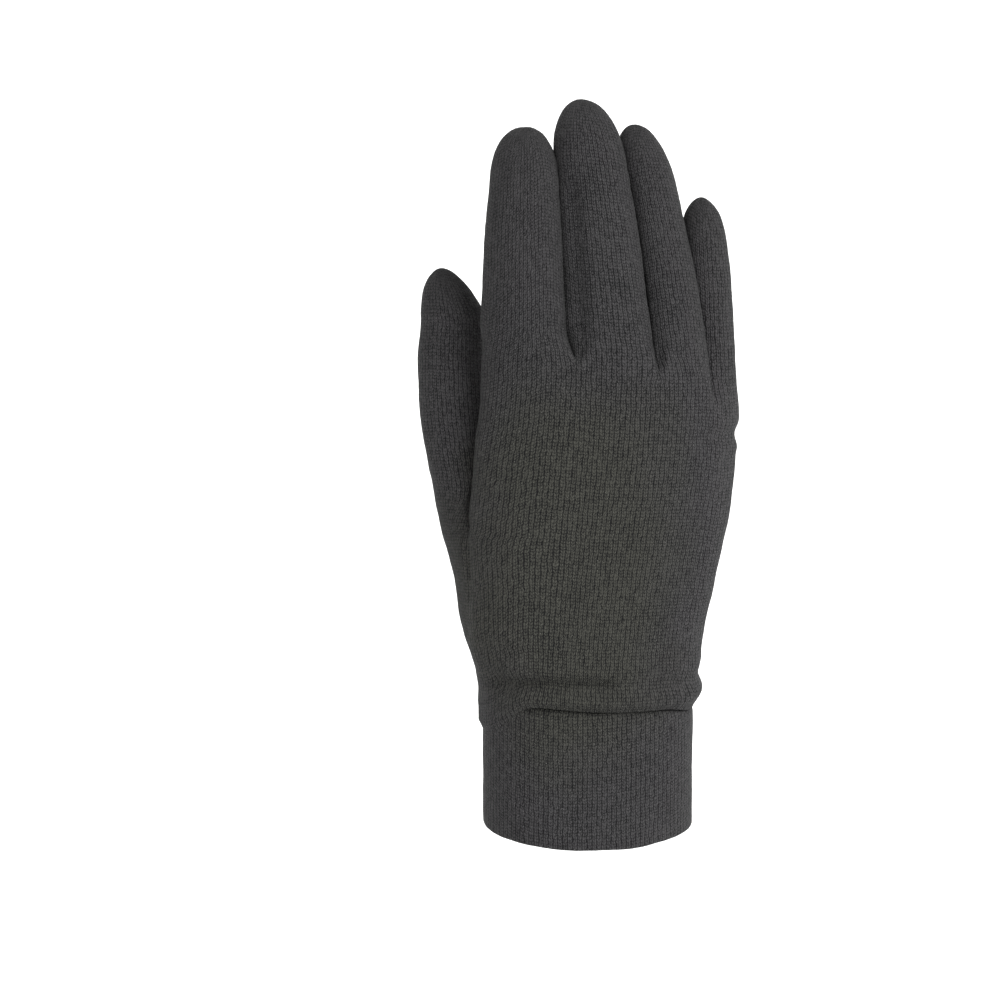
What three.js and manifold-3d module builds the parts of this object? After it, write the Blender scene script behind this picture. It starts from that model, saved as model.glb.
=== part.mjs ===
// Knitted glove liner for the right hand, standing filled out with its fingers up.
// Millimetres. +Z runs along the fingers, the back of the hand faces -Y and the thumb is at -X.
// The origin is the centre of the cuff's opening.

import * as THREE from 'three';
import { mergeVertices } from 'three/addons/utils/BufferGeometryUtils.js';
import Module from 'manifold-3d';

// Knit and joints
const KNIT_WALL = 1.2;
const SEAM_GAP = 0.3;
const FINGER_GAP = 0.6;

// Cuff: a doubled band with a folded hem
const CUFF_HEIGHT = 44.6;
const CUFF_WIDTH = 70;
const CUFF_DEPTH = 46;
const CUFF_WALL = 2.4;

// Hand: from the cuff's seam to the roots of the fingers
const HAND_LENGTH = 114;
const HAND_WIDTH = 88;
const HAND_DEPTH = 33;

// Thumb: its joint ring stands this far above the cuff's seam
const THUMB_JOINT_HEIGHT = 60;
const THUMB_LENGTH = 128;
const THUMB_WIDTH = 21;
const THUMB_DEPTH = 20;
const THUMB_SLOPE_SHARE = 0.01;

// Fingers: lengths run from the root, inside the hand, to the tip
const INDEX_LENGTH = 94;
const INDEX_WIDTH = 26.2;
const INDEX_DEPTH = 21.5;
const MIDDLE_LENGTH = 103.6;
const MIDDLE_WIDTH = 28.6;
const MIDDLE_DEPTH = 21.5;
const RING_LENGTH = 96;
const RING_WIDTH = 21.5;
const RING_DEPTH = 19.5;
const LITTLE_LENGTH = 80.5;
const LITTLE_WIDTH = 18.5;
const LITTLE_DEPTH = 17;

// Roundness of the sections and of the closed tips, and the steps that draw them
const HAND_POWER = 2.35;
const TUBE_POWER = 2.1;
const HAND_SIDES = 40;
const TUBE_SIDES = 20;
const DOME_STEPS = 4;
const DOME_FULLNESS = 0.8;
const DOME_TIP_SHARE = 0.87;
const CROWN_SHARE = 0.01;

// Sections of the hand. up is a share of HAND_LENGTH. palm goes from 0, the cuff's half sizes, to 1, the
// hand's. left, right, back and front swell those half sizes. arch bends the little finger's side towards
// the palm, and drop lowers it, as shares of HAND_DEPTH and HAND_LENGTH.
const HAND_SECTIONS = [
  { up: 0.000, palm: 0.00, left: 1.00, right: 1.01, back: 1.03, front: 1.03, arch: 0.00, drop: 0.00 },
  { up: 0.030, palm: 0.00, left: 1.04, right: 1.07, back: 1.09, front: 1.09, arch: 0.00, drop: 0.00 },
  { up: 0.070, palm: 0.00, left: 1.06, right: 1.09, back: 1.11, front: 1.11, arch: 0.00, drop: 0.00 },
  { up: 0.110, palm: 0.02, left: 1.07, right: 1.06, back: 1.04, front: 1.05, arch: 0.00, drop: 0.00 },
  { up: 0.170, palm: 0.12, left: 1.09, right: 1.04, back: 1.01, front: 1.02, arch: 0.02, drop: 0.00 },
  { up: 0.260, palm: 0.35, left: 1.06, right: 1.03, back: 1.01, front: 1.02, arch: 0.06, drop: 0.00 },
  { up: 0.360, palm: 0.60, left: 0.98, right: 1.04, back: 1.02, front: 1.04, arch: 0.12, drop: 0.00 },
  { up: 0.460, palm: 0.80, left: 0.94, right: 1.06, back: 1.02, front: 1.05, arch: 0.19, drop: 0.00 },
  { up: 0.580, palm: 1.00, left: 0.89, right: 1.08, back: 1.04, front: 1.02, arch: 0.27, drop: 0.00 },
  { up: 0.700, palm: 1.00, left: 0.87, right: 1.11, back: 1.02, front: 0.98, arch: 0.34, drop: 0.02 },
  { up: 0.790, palm: 1.00, left: 0.85, right: 1.12, back: 0.97, front: 0.93, arch: 0.38, drop: 0.04 },
  { up: 0.850, palm: 1.00, left: 0.83, right: 1.14, back: 0.92, front: 0.88, arch: 0.40, drop: 0.06 },
  { up: 0.910, palm: 1.00, left: 0.81, right: 1.13, back: 0.82, front: 0.80, arch: 0.41, drop: 0.09 },
  { up: 0.955, palm: 1.00, left: 0.78, right: 1.10, back: 0.66, front: 0.68, arch: 0.42, drop: 0.12 },
  { up: 0.985, palm: 1.00, left: 0.73, right: 1.02, back: 0.46, front: 0.50, arch: 0.42, drop: 0.14 },
  { up: 1.000, palm: 1.00, left: 0.66, right: 0.94, back: 0.22, front: 0.26, arch: 0.42, drop: 0.15 },
];

// Where each finger starts and how it leans. x is a share of HAND_WIDTH, y of HAND_DEPTH and up of
// HAND_LENGTH. lean and bow shift the middle line sideways, curl and press move it towards the palm, as
// shares of the length: lean and curl grow to the tip, bow and press are greatest half way. tip moves the
// very end sideways.
const FINGERS = [
  {
    name: 'index', length: INDEX_LENGTH, width: INDEX_WIDTH, depth: INDEX_DEPTH,
    x: -0.240, y: -0.115, up: 0.86, lean: 0.000, bow: -0.004, curl: 0.040, press: -0.005, tip: 0,
  },
  {
    name: 'middle', length: MIDDLE_LENGTH, width: MIDDLE_WIDTH, depth: MIDDLE_DEPTH,
    x: 0.100, y: -0.095, up: 0.86, lean: -0.097, bow: 0.008, curl: 0.055, press: 0.004, tip: 0,
  },
  {
    name: 'ring', length: RING_LENGTH, width: RING_WIDTH, depth: RING_DEPTH,
    x: 0.342, y: 0.030, up: 0.85, lean: -0.152, bow: 0.016, curl: 0.075, press: 0.020, tip: 0,
  },
  {
    name: 'little', length: LITTLE_LENGTH, width: LITTLE_WIDTH, depth: LITTLE_DEPTH,
    x: 0.450, y: 0.300, up: 0.77, lean: -0.024, bow: 0.000, curl: 0.040, press: 0.050, tip: 0,
  },
];

// Swell of a finger from its root to where its tip starts to close
const FINGER_SECTIONS = [
  { along: 0.00, width: 1.02, depth: 1.04 },
  { along: 0.12, width: 1.06, depth: 1.08 },
  { along: 0.25, width: 1.07, depth: 1.05 },
  { along: 0.46, width: 1.01, depth: 1.00 },
  { along: 0.65, width: 0.94, depth: 0.96 },
  { along: 0.78, width: 0.86, depth: 0.89 },
];

// The thumb starts deep in the side of the hand. Its shares are those of the fingers.
const THUMB = {
  name: 'thumb', length: THUMB_LENGTH, width: THUMB_WIDTH, depth: THUMB_DEPTH,
  x: -0.273, y: 0.18, up: 0.15, lean: -0.161, bow: -0.074, curl: 0.080, press: 0.020, tip: -0.023,
};

const THUMB_SECTIONS = [
  { along: 0.00, width: 1.20, depth: 1.10 },
  { along: 0.08, width: 1.26, depth: 1.30 },
  { along: 0.14, width: 1.16, depth: 1.34 },
  { along: 0.20, width: 1.05, depth: 1.34 },
  { along: 0.33, width: 0.99, depth: 1.22 },
  { along: 0.47, width: 0.96, depth: 1.08 },
  { along: 0.67, width: 1.00, depth: 1.00 },
  { along: 0.78, width: 0.96, depth: 0.95 },
  { along: 0.87, width: 0.91, depth: 0.88 },
];

// Section of the cuff's wall. height is a share of CUFF_HEIGHT, and edge and inset are shares of CUFF_WALL:
// edge moves up from that height, and inset goes in from the outside. The hem and the seam edge are round.
const CUFF_PROFILE = [
  { height: 0.00, edge: 0.00, inset: 0.50 },
  { height: 0.00, edge: 0.15, inset: 0.15 },
  { height: 0.00, edge: 0.50, inset: 0.00 },
  { height: 0.35, edge: 0.00, inset: -0.06 },
  { height: 0.70, edge: 0.00, inset: 0.04 },
  { height: 1.00, edge: -0.50, inset: 0.00 },
  { height: 1.00, edge: -0.15, inset: 0.15 },
  { height: 1.00, edge: 0.00, inset: 0.50 },
  { height: 1.00, edge: -0.15, inset: 0.85 },
  { height: 1.00, edge: -0.50, inset: 1.00 },
  { height: 0.00, edge: 0.50, inset: 1.00 },
  { height: 0.00, edge: 0.15, inset: 0.85 },
];

const wasm = await Module();
wasm.setup();

const HAND_START = CUFF_HEIGHT + SEAM_GAP;

function mix(from, to, share) {
  return from + (to - from) * share;
}

function signedPower(value, power) {
  return Math.sign(value) * Math.abs(value) ** power;
}

// One ring of points. left, right, back and front are measured from x, y; arch and drop work on its +X side.
function ringPoints(ring, sides, power) {
  const points = [];
  for (let i = 0; i < sides; i += 1) {
    const angle = (2 * Math.PI * i) / sides;
    const across = signedPower(Math.cos(angle), 2 / power);
    const deep = signedPower(Math.sin(angle), 2 / power);
    const halfWidth = (ring.left + ring.right) / 2;
    const side = Math.max(across, 0);
    const reach = (1 + across) / 2;
    points.push(new THREE.Vector3(
      ring.x + (ring.right - ring.left) / 2 + halfWidth * across,
      ring.y + (deep < 0 ? ring.back : ring.front) * deep + ring.arch * side ** 2,
      ring.z - ring.drop * reach ** 4,
    ));
  }
  return points;
}

// Faces between each loop of points and the next one, and from the last to the first where it goes round
function skinIndex(loops, sides, goesRound) {
  const index = [];
  const bands = goesRound ? loops.length : loops.length - 1;
  for (let level = 0; level < bands; level += 1) {
    const above = ((level + 1) % loops.length) * sides;
    for (let i = 0; i < sides; i += 1) {
      const next = (i + 1) % sides;
      const here = level * sides;
      index.push(here + i, here + next, above + next);
      index.push(here + i, above + next, above + i);
    }
  }
  return index;
}

function skinGeometry(points, index) {
  const geometry = new THREE.BufferGeometry();
  const numbers = points.flatMap((point) => point.toArray());
  geometry.setAttribute('position', new THREE.Float32BufferAttribute(numbers, 3));
  geometry.setIndex(index);
  geometry.computeVertexNormals();
  return geometry;
}

// A closed skin through rings that climb in Z, with a point at the middle of each end
function loft(rings, sides, power, lift) {
  const loops = rings.map((ring) => ringPoints(ring, sides, power));
  const ends = [loops[0], loops[loops.length - 1]];
  const centres = ends.map((loop) => (
    loop.reduce((sum, point) => sum.add(point), new THREE.Vector3()).divideScalar(sides)
  ));
  centres[1].z += lift;
  const index = skinIndex(loops, sides, false);
  const bottomCentre = loops.length * sides;
  const top = bottomCentre - sides;
  for (let i = 0; i < sides; i += 1) {
    const next = (i + 1) % sides;
    index.push(bottomCentre, next, i);
    index.push(bottomCentre + 1, top + i, top + next);
  }
  return skinGeometry([...loops.flat(), ...centres], index);
}

function toSolid(geometry) {
  const bare = geometry.clone();
  bare.deleteAttribute('normal');
  bare.deleteAttribute('uv');
  const merged = mergeVertices(bare);
  return new wasm.Manifold(new wasm.Mesh({
    numProp: 3,
    vertProperties: new Float32Array(merged.attributes.position.array),
    triVerts: new Uint32Array(merged.index.array),
  }));
}

function toGeometry(solid) {
  const mesh = solid.getMesh();
  const geometry = new THREE.BufferGeometry();
  geometry.setAttribute('position', new THREE.BufferAttribute(mesh.vertProperties, 3));
  geometry.setIndex(new THREE.BufferAttribute(mesh.triVerts, 1));
  geometry.computeVertexNormals();
  return geometry;
}

// The hand without its fingers. grow swells it, or shrinks it by a wall. below carries its foot further down.
function handBody(grow, below) {
  const rings = HAND_SECTIONS.map((row) => {
    const halfWidth = mix(CUFF_WIDTH, HAND_WIDTH, row.palm) / 2;
    const halfDepth = mix(CUFF_DEPTH, HAND_DEPTH, row.palm) / 2;
    return {
      x: 0,
      y: 0,
      z: HAND_START + row.up * HAND_LENGTH,
      left: halfWidth * row.left + grow,
      right: halfWidth * row.right + grow,
      back: halfDepth * row.back + grow,
      front: halfDepth * row.front + grow,
      arch: row.arch * HAND_DEPTH,
      drop: row.drop * HAND_LENGTH,
    };
  });
  if (below > 0) {
    rings.unshift({ ...rings[0], z: HAND_START - below });
  }
  rings[rings.length - 1].z += grow;
  return toSolid(loft(rings, HAND_SIDES, HAND_POWER, HAND_LENGTH * CROWN_SHARE));
}

// The middle line of a finger or the thumb, at a share of its length
function middleLine(tube, along) {
  const bulge = 4 * along * (1 - along);
  return new THREE.Vector3(
    tube.x * HAND_WIDTH + tube.length * (tube.lean * along + tube.bow * bulge),
    tube.y * HAND_DEPTH + tube.length * (tube.curl * along + tube.press * bulge),
    HAND_START + tube.up * HAND_LENGTH + tube.length * along,
  );
}

// A finger or the thumb, as a tube that leans and closes in a dome
function tubeBody(tube, sections, grow) {
  const ringAt = (along, width, depth, close, rise, dome) => {
    const centre = middleLine(tube, along);
    const halfWidth = ((tube.width * width) / 2 + grow) * close;
    const halfDepth = ((tube.depth * depth) / 2 + grow) * close;
    return {
      x: centre.x + tube.length * tube.tip * dome ** 2,
      y: centre.y,
      z: centre.z + rise,
      left: halfWidth,
      right: halfWidth,
      back: halfDepth,
      front: halfDepth,
      arch: 0,
      drop: 0,
    };
  };
  const rings = sections.map((row) => ringAt(row.along, row.width, row.depth, 1, 0, 0));
  const last = sections[sections.length - 1];
  for (let step = 1; step <= DOME_STEPS; step += 1) {
    const angle = (Math.PI / 2) * DOME_TIP_SHARE * (step / DOME_STEPS);
    const dome = Math.sin(angle);
    const along = mix(last.along, 1, dome);
    const close = Math.cos(angle) ** DOME_FULLNESS;
    rings.push(ringAt(along, last.width, last.depth, close, grow * dome, dome));
  }
  const tip = middleLine(tube, 1).z + grow;
  return toSolid(loft(rings, TUBE_SIDES, TUBE_POWER, tip - rings[rings.length - 1].z));
}

// The fingers lie against each other: each one is pressed in by the one before it, which is nearer the back
function fingersBody(grow, gap) {
  const parts = FINGERS.map((finger, place) => {
    const body = tubeBody(finger, FINGER_SECTIONS, grow);
    const neighbours = FINGERS.slice(0, place).map((other) => tubeBody(other, FINGER_SECTIONS, gap));
    return neighbours.reduce((rest, other) => rest.subtract(other), body);
  });
  return parts.reduce((all, part) => all.add(part));
}

// Everything above the thumb's joint ring, raised by a gap. The ring's plane is square to the thumb.
function aboveThumbJoint(gap) {
  const size = 2 * (HAND_LENGTH + THUMB_LENGTH);
  const along = (THUMB_JOINT_HEIGHT - THUMB.up * HAND_LENGTH) / THUMB_LENGTH;
  const centre = middleLine(THUMB, along);
  const direction = middleLine(THUMB, along + THUMB_SLOPE_SHARE).sub(centre).normalize();
  const up = new THREE.Vector3(0, 0, 1);
  const box = new THREE.BoxGeometry(size, size, size);
  box.translate(0, 0, size / 2 + gap);
  box.applyQuaternion(new THREE.Quaternion().setFromUnitVectors(up, direction));
  box.translate(centre.x, centre.y, centre.z);
  return toSolid(box);
}

function handShell() {
  const stub = tubeBody(THUMB, THUMB_SECTIONS, 0).subtract(aboveThumbJoint(0));
  const outer = handBody(0, 0).add(fingersBody(0, FINGER_GAP)).add(stub);
  const inner = handBody(-KNIT_WALL, CUFF_WALL)
    .add(fingersBody(-KNIT_WALL, FINGER_GAP + KNIT_WALL))
    .add(tubeBody(THUMB, THUMB_SECTIONS, -KNIT_WALL));
  return outer.subtract(inner);
}

function thumbTube() {
  const outer = tubeBody(THUMB, THUMB_SECTIONS, 0)
    .intersect(aboveThumbJoint(SEAM_GAP))
    .subtract(handBody(SEAM_GAP, 0));
  const inner = tubeBody(THUMB, THUMB_SECTIONS, -KNIT_WALL)
    .subtract(handBody(SEAM_GAP + KNIT_WALL, 0));
  return outer.subtract(inner);
}

// The cuff's wall goes round its section and round the wrist
function cuffBand() {
  const loops = CUFF_PROFILE.map((row) => {
    const halfWidth = CUFF_WIDTH / 2 - row.inset * CUFF_WALL;
    const halfDepth = CUFF_DEPTH / 2 - row.inset * CUFF_WALL;
    return ringPoints({
      x: 0,
      y: 0,
      z: row.height * CUFF_HEIGHT + row.edge * CUFF_WALL,
      left: halfWidth,
      right: halfWidth,
      back: halfDepth,
      front: halfDepth,
      arch: 0,
      drop: 0,
    }, HAND_SIDES, HAND_POWER);
  });
  return skinGeometry(loops.flat(), skinIndex(loops, HAND_SIDES, true));
}

function knit(name, geometry, colour) {
  const material = new THREE.MeshStandardMaterial({ color: colour, roughness: 0.95, metalness: 0 });
  const mesh = new THREE.Mesh(geometry, material);
  mesh.name = name;
  return mesh;
}

const glove = new THREE.Group();
glove.add(knit('hand_shell', toGeometry(handShell()), 0x47484a));
glove.add(knit('thumb', toGeometry(thumbTube()), 0x454648));
glove.add(knit('cuff', cuffBand(), 0x434446));

export default glove;
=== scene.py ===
# %% [markdown]
# A knitted glove liner is one thin cloth shaped as a hand. Nothing in it is stiff: what the eye reads is
# the outline, the valleys between the fingers, a few soft folds at the wrist, and the rows of stitches,
# which run up the hand and on up every finger. The glove here stands filled out, as if worn.
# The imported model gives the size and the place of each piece, and this script gives them their knit.

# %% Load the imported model
import math

import bpy
import numpy as np
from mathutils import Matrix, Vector, noise


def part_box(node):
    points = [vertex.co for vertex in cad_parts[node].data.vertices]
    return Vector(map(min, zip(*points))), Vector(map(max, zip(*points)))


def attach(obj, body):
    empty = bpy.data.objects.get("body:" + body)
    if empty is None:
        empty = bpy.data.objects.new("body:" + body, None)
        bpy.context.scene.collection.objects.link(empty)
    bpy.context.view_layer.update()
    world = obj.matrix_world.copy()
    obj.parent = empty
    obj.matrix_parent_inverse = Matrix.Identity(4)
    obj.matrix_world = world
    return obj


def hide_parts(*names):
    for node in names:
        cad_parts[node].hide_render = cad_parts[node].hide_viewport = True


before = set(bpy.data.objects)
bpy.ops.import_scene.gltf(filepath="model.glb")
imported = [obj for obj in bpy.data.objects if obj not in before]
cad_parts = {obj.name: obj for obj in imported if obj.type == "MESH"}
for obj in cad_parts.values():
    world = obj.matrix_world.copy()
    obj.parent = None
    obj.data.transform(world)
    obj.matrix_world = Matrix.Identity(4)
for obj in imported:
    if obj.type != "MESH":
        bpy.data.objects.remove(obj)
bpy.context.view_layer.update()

MM = 0.001
cuff_low, cuff_high = (np.array(corner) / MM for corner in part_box("cuff"))
hand_low, hand_high = (np.array(corner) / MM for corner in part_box("hand_shell"))
print("cuff", cuff_low.round(1), cuff_high.round(1), "hand", hand_low.round(1), hand_high.round(1))

# %% [markdown]
# Most of the glove is a tube whose section changes as it climbs. A section is a superellipse, a rounded
# box between an ellipse and a rectangle, so a short table of half sizes says the whole body. The table's
# rows are joined by a smooth curve, not by straight lines, or each row would show as a ring. It could also
# be a primitive that is pulled about in edit mode, but the stitches need columns that run on without a break.

# %% Sizes of the hand
SEAM_Z = hand_low[2]
HAND_LENGTH = 114.0
HAND_WIDTH = 88.0
HAND_DEPTH = 33.0
CUFF_WIDTH = cuff_high[0] - cuff_low[0]
CUFF_DEPTH = cuff_high[1] - cuff_low[1]
CUFF_HEIGHT = cuff_high[2]
BODY_POWER = 2.35

# up is a share of HAND_LENGTH, palm goes from the cuff's half sizes to the hand's, left, right, back and
# front swell them, and arch bends the little finger's side to the palm, as a share of HAND_DEPTH. The
# columns are up, palm, left, right, back, front and arch.
BODY_ROWS = np.array([
    (0.000, 0.00, 1.00, 1.01, 1.03, 1.03, 0.00),
    (0.110, 0.02, 1.05, 1.05, 1.04, 1.05, 0.00),
    (0.170, 0.12, 1.09, 1.04, 1.01, 1.02, 0.02),
    (0.260, 0.35, 1.06, 1.03, 1.01, 1.02, 0.06),
    (0.360, 0.60, 0.98, 1.04, 1.02, 1.04, 0.12),
    (0.460, 0.80, 0.94, 1.06, 1.02, 1.05, 0.19),
    (0.580, 1.00, 0.89, 1.08, 1.04, 1.02, 0.27),
    (0.700, 1.00, 0.87, 1.11, 1.02, 0.98, 0.34),
    (0.790, 1.00, 0.85, 1.12, 0.98, 0.94, 0.38),
    (0.850, 1.00, 0.83, 1.14, 0.95, 0.90, 0.40),
    (0.950, 1.00, 0.81, 1.13, 0.92, 0.86, 0.42),
    (1.100, 1.00, 0.80, 1.12, 0.90, 0.82, 0.42),
])


def smooth_rows(rows, at):
    """Read every column of a table at the given places, on a smooth curve through its rows."""
    x = rows[:, 0]
    at = np.clip(np.asarray(at, dtype=float), x[0], x[-1])
    slope = np.gradient(rows, x, axis=0)
    i = np.clip(np.searchsorted(x, at, side="right") - 1, 0, len(x) - 2)
    gap = x[i + 1] - x[i]
    t = ((at - x[i]) / gap)[..., None]
    gap = gap[..., None]
    low, high = rows[i], rows[i + 1]
    return ((1 + 2 * t) * (1 - t) ** 2 * low + t * (1 - t) ** 2 * gap * slope[i]
            + t ** 2 * (3 - 2 * t) * high + t ** 2 * (t - 1) * gap * slope[i + 1])


print("the body's table goes up to", round(BODY_ROWS[-1, 0] * HAND_LENGTH), "mm above the seam")

# %% Read the body's sizes
def body_at(z):
    """Half sizes and arch of the hand's body at the heights z, in millimetres."""
    row = smooth_rows(BODY_ROWS, (np.asarray(z, dtype=float) - SEAM_Z) / HAND_LENGTH)
    palm = row[..., 1]
    half_width = (CUFF_WIDTH + (HAND_WIDTH - CUFF_WIDTH) * palm) / 2
    half_depth = (CUFF_DEPTH + (HAND_DEPTH - CUFF_DEPTH) * palm) / 2
    return (half_width * row[..., 2], half_width * row[..., 3], half_depth * row[..., 4],
            half_depth * row[..., 5], HAND_DEPTH * row[..., 6])


print("palm half sizes at 120 mm", [round(float(value), 1) for value in body_at(120.0)])

# %% [markdown]
# The fingers and the thumb are tubes too. Each has a middle line that leans and bends a little, a table of
# swells, and a domed tip. The fingers lie side by side in a shallow curve, with the little finger nearest to
# the palm's side, and the thumb lies beside the palm.

# %% Sizes of the fingers and the thumb
TUBE_POWER = 2.1
DOME_POWER = 2.1
# Shares of a tube's length between which it swells on the side that faces the palm
SWELL_ON_RIGHT = (0.3, 0.5)
TIP_BEND = 1.3

# x, y and up place the root as shares of the hand's width, depth and length. lean and bow move the middle
# line sideways, curl and press towards the palm, as shares of the length. tip moves the very end, dome is
# the roundness of the tip, and right adds to the side that faces the palm.
TUBES = {
    "index": dict(length=94.3, width=26.2, depth=21.5, x=-0.244, y=-0.115, up=0.86,
                  lean=0.000, bow=-0.004, curl=0.040, press=-0.005, dome=2.3),
    "middle": dict(length=103.1, width=27.5, depth=21.5, x=0.0937, y=-0.095, up=0.86,
                   lean=-0.108, bow=0.008, curl=0.055, press=0.004),
    "ring": dict(length=96.0, width=21.5, depth=19.5, x=0.335, y=0.030, up=0.85,
                 lean=-0.152, bow=0.016, curl=0.075, press=0.020),
    "little": dict(length=81.3, width=18.5, depth=17.0, x=0.453, y=0.250, up=0.77,
                   lean=-0.034, bow=0.004, curl=0.040, press=0.050, dome=1.85),
    "thumb": dict(length=128.0, width=21.0, depth=20.0, x=-0.273, y=0.18, up=0.15,
                  lean=-0.161, bow=-0.074, curl=0.080, press=0.020, tip=-0.036, dome=1.8,
                  right=0.8),
}
FINGERS = ("index", "middle", "ring", "little")

# along, width, depth: the swell of a tube up to where its tip starts to close
FINGER_SWELL = np.array([
    (0.00, 1.02, 1.06), (0.12, 1.06, 1.08), (0.25, 1.07, 1.05),
    (0.46, 1.01, 1.00), (0.65, 0.94, 0.96), (0.78, 0.86, 0.89),
])
THUMB_SWELL = np.array([
    (0.00, 1.20, 1.10), (0.08, 1.26, 1.30), (0.14, 1.16, 1.34), (0.20, 1.05, 1.34), (0.33, 0.99, 1.22),
    (0.47, 0.96, 1.08), (0.67, 1.00, 1.00), (0.78, 0.96, 0.95), (0.87, 0.91, 0.88),
])
print("lengths", {name: tube["length"] for name, tube in TUBES.items()})

# %% Read a tube's sizes
def tube_at(name, z):
    """Middle x and y, and half width and half depth, of a finger or the thumb at the heights z."""
    tube = TUBES[name]
    swell = THUMB_SWELL if name == "thumb" else FINGER_SWELL
    base = SEAM_Z + tube["up"] * HAND_LENGTH
    along = (np.asarray(z, dtype=float) - base) / tube["length"]
    bulge = 4 * along * (1 - along)
    x = tube["x"] * HAND_WIDTH + tube["length"] * (tube["lean"] * along + tube["bow"] * bulge)
    y = tube["y"] * HAND_DEPTH + tube["length"] * (tube["curl"] * along + tube["press"] * bulge)
    row = smooth_rows(swell, along)
    dome = np.clip((along - swell[-1, 0]) / (1 - swell[-1, 0]), 0, 0.9999)
    power = tube.get("dome", DOME_POWER)
    close = (1 - dome ** power) ** (1 / power)
    start, full = SWELL_ON_RIGHT
    right = tube.get("right", 0) * np.clip((along - start) / (full - start), 0, 1) * (1 - dome) ** 2
    x = x + tube["length"] * tube.get("tip", 0) * dome ** TIP_BEND + right
    wide = tube["width"] / 2 * row[..., 1] * close + right
    return x, y, wide, tube["depth"] / 2 * row[..., 2] * close


def tube_ends(name):
    """Heights where a tube's tip starts to close, and where it ends."""
    tube = TUBES[name]
    swell = THUMB_SWELL if name == "thumb" else FINGER_SWELL
    base = SEAM_Z + tube["up"] * HAND_LENGTH
    return base + swell[-1, 0] * tube["length"], base + tube["length"]


print({name: [round(float(end)) for end in tube_ends(name)] for name in TUBES})

# %% [markdown]
# A knitted glove is made of wales, columns of stitches that run from the cuff to the fingertips, so the
# mesh is made of the same columns. Round the wrist they go in one ring. At the root of the thumb the ring
# parts in two, the thumb and the palm, and at the crotches the palm's ring parts in four. Where a ring
# parts, a short web joins back and palm, and its stitches start new columns. A boolean of tubes would be
# quicker to make, but the stitches could not then follow the cloth from the hand into the fingers.

# %% Columns of the knit
# How many columns each finger takes from the back and from the palm side. SIDE runs up the outside of the
# little finger and GUSSET into the thumb, and the webs' columns are new.
BACK = {"index": 25, "middle": 20, "ring": 16, "little": 7}
FRONT = {"index": 19, "middle": 19, "ring": 17, "little": 12}
SIDE = 8
THUMB_WEB = 14
FINGER_WEBS = (12, 12, 14)
GUSSET = 41
BACK_COUNT = sum(BACK.values())
FRONT_COUNT = sum(FRONT.values())
PALM_COUNT = BACK_COUNT + SIDE + FRONT_COUNT
HAND_RING = PALM_COUNT + GUSSET
ROW_STEP = 1.35
OUTLINE_STEPS = 720
THUMB_FILLET = 7.0

# Crotches: x and height above the cuff's seam on the back, then the same on the palm side
CROTCHES = np.array([
    (-4.8, 115.7, -9.0, 116.7),
    (22.6, 110.7, 13.0, 110.7),
    (41.0, 101.7, 31.0, 96.7),
])
CROTCHES[:, [1, 3]] += SEAM_Z
THUMB_BACK_Z = SEAM_Z + 59.7
THUMB_FRONT_Z = SEAM_Z + 69.7
print("columns round the hand", HAND_RING, "round the palm", PALM_COUNT + THUMB_WEB)

# %% Outline of the hand at any height
def superellipse(angle, left, right, back, front, power):
    """Radius of a section from its own middle, in each direction."""
    half_width = (left + right) / 2
    half_depth = np.where(np.sin(angle) < 0, back, front)
    return (np.abs(np.cos(angle) / half_width) ** power
            + np.abs(np.sin(angle) / half_depth) ** power) ** (-1 / power)


def body_outline(z, with_thumb):
    """Closed outline of the hand at height z as points, from the left side round by the back."""
    left, right, back, front, arch = body_at(z)
    middle = (right - left) / 2
    angle = math.pi + np.linspace(0, 2 * math.pi, OUTLINE_STEPS, endpoint=False)
    radius = superellipse(angle, left, right, back, front, BODY_POWER)
    if with_thumb:
        x, y, wide, deep = tube_at("thumb", z)
        dx, dy = np.cos(angle) / wide, np.sin(angle) / deep
        ox, oy = (x - middle) / wide, y / deep
        along = (dx * ox + dy * oy) / (dx ** 2 + dy ** 2)
        inside = along ** 2 - (ox ** 2 + oy ** 2 - 1) / (dx ** 2 + dy ** 2)
        reach = np.where(inside > 0, along + np.sqrt(np.maximum(inside, 0)), 0)
        near = np.clip(1 - np.abs(radius - reach) / THUMB_FILLET, 0, 1)
        radius = np.maximum(radius, reach) + near ** 2 * THUMB_FILLET / 4 * (reach > 0)
    points = np.stack([middle + radius * np.cos(angle), radius * np.sin(angle)], axis=-1)
    share = np.clip((points[:, 0] - middle) / ((left + right) / 2), 0, 1)
    points[:, 1] += arch * share ** 2
    return points


outline = body_outline(THUMB_BACK_Z, True)
print("outline at the thumb's root from", outline.min(0).round(1), "to", outline.max(0).round(1))


# %% Places along an outline
def arc_lengths(points):
    """Length along a closed outline at each of its points, and the outline with its start repeated."""
    closed = np.vstack([points, points[:1]])
    return np.concatenate([[0], np.cumsum(np.hypot(*np.diff(closed, axis=0).T))]), closed


def lay_columns(points, keys, count):
    """Place count columns round an outline: keys pairs a column with a place along the outline."""
    lengths, closed = arc_lengths(points)
    total = lengths[-1]
    columns = np.array([key[0] for key in keys], dtype=float)
    places = np.unwrap(np.array([key[1] for key in keys]) / total * 2 * math.pi) / (2 * math.pi) * total
    columns = np.append(columns, columns[0] + count)
    places = np.append(places, places[0] + total)
    at = np.interp(np.arange(count) + columns[0], columns, places) % total
    return np.stack([np.interp(at, lengths, closed[:, axis]) for axis in (0, 1)], axis=-1)


def place_of_angle(lengths, angle):
    """Place along the outline where it is seen at an angle from the section's middle."""
    share = ((angle - math.pi) % (2 * math.pi)) / (2 * math.pi)
    return np.interp(share * OUTLINE_STEPS, np.arange(OUTLINE_STEPS + 1), lengths)


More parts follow.
